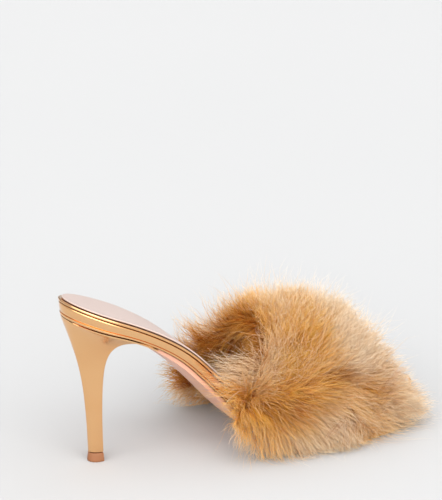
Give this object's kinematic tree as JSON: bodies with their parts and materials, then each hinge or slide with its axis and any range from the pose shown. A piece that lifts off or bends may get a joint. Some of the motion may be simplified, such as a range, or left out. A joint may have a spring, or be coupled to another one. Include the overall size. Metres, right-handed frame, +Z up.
{
  "type": "shearling-trimmed mule",
  "caption": "Backless open-toe mule on a slim covered heel: gold leather platform, pale leather insole, and a leather vamp covered in deep golden shearling.",
  "frame": {"origin": "middle of the heel's top piece, where it stands on the floor", "axes": "+X from heel to toe, +Y towards the inner side of the foot, +Z up"},
  "size_m": [0.2143, 0.1166, 0.0945],
  "materials": {
    "sock_leather": "pale pink kid leather, matt",
    "gold_leather": "rose-gold mirror leather, glossy",
    "sole_leather": "nude sole leather, satin",
    "heel_rubber": "tan, satin",
    "vamp_leather": "tan lining suede, matt",
    "shearling": "long golden-tan fur with pale tips"
  },
  "bodies": {
    "root": {"sock": "sock_leather", "insole": "gold_leather", "platform": "gold_leather", "outsole": "sole_leather", "heel": "gold_leather", "top_piece": "heel_rubber", "vamp": "vamp_leather", "shearling": "shearling"}
  },
  "joints": []
}
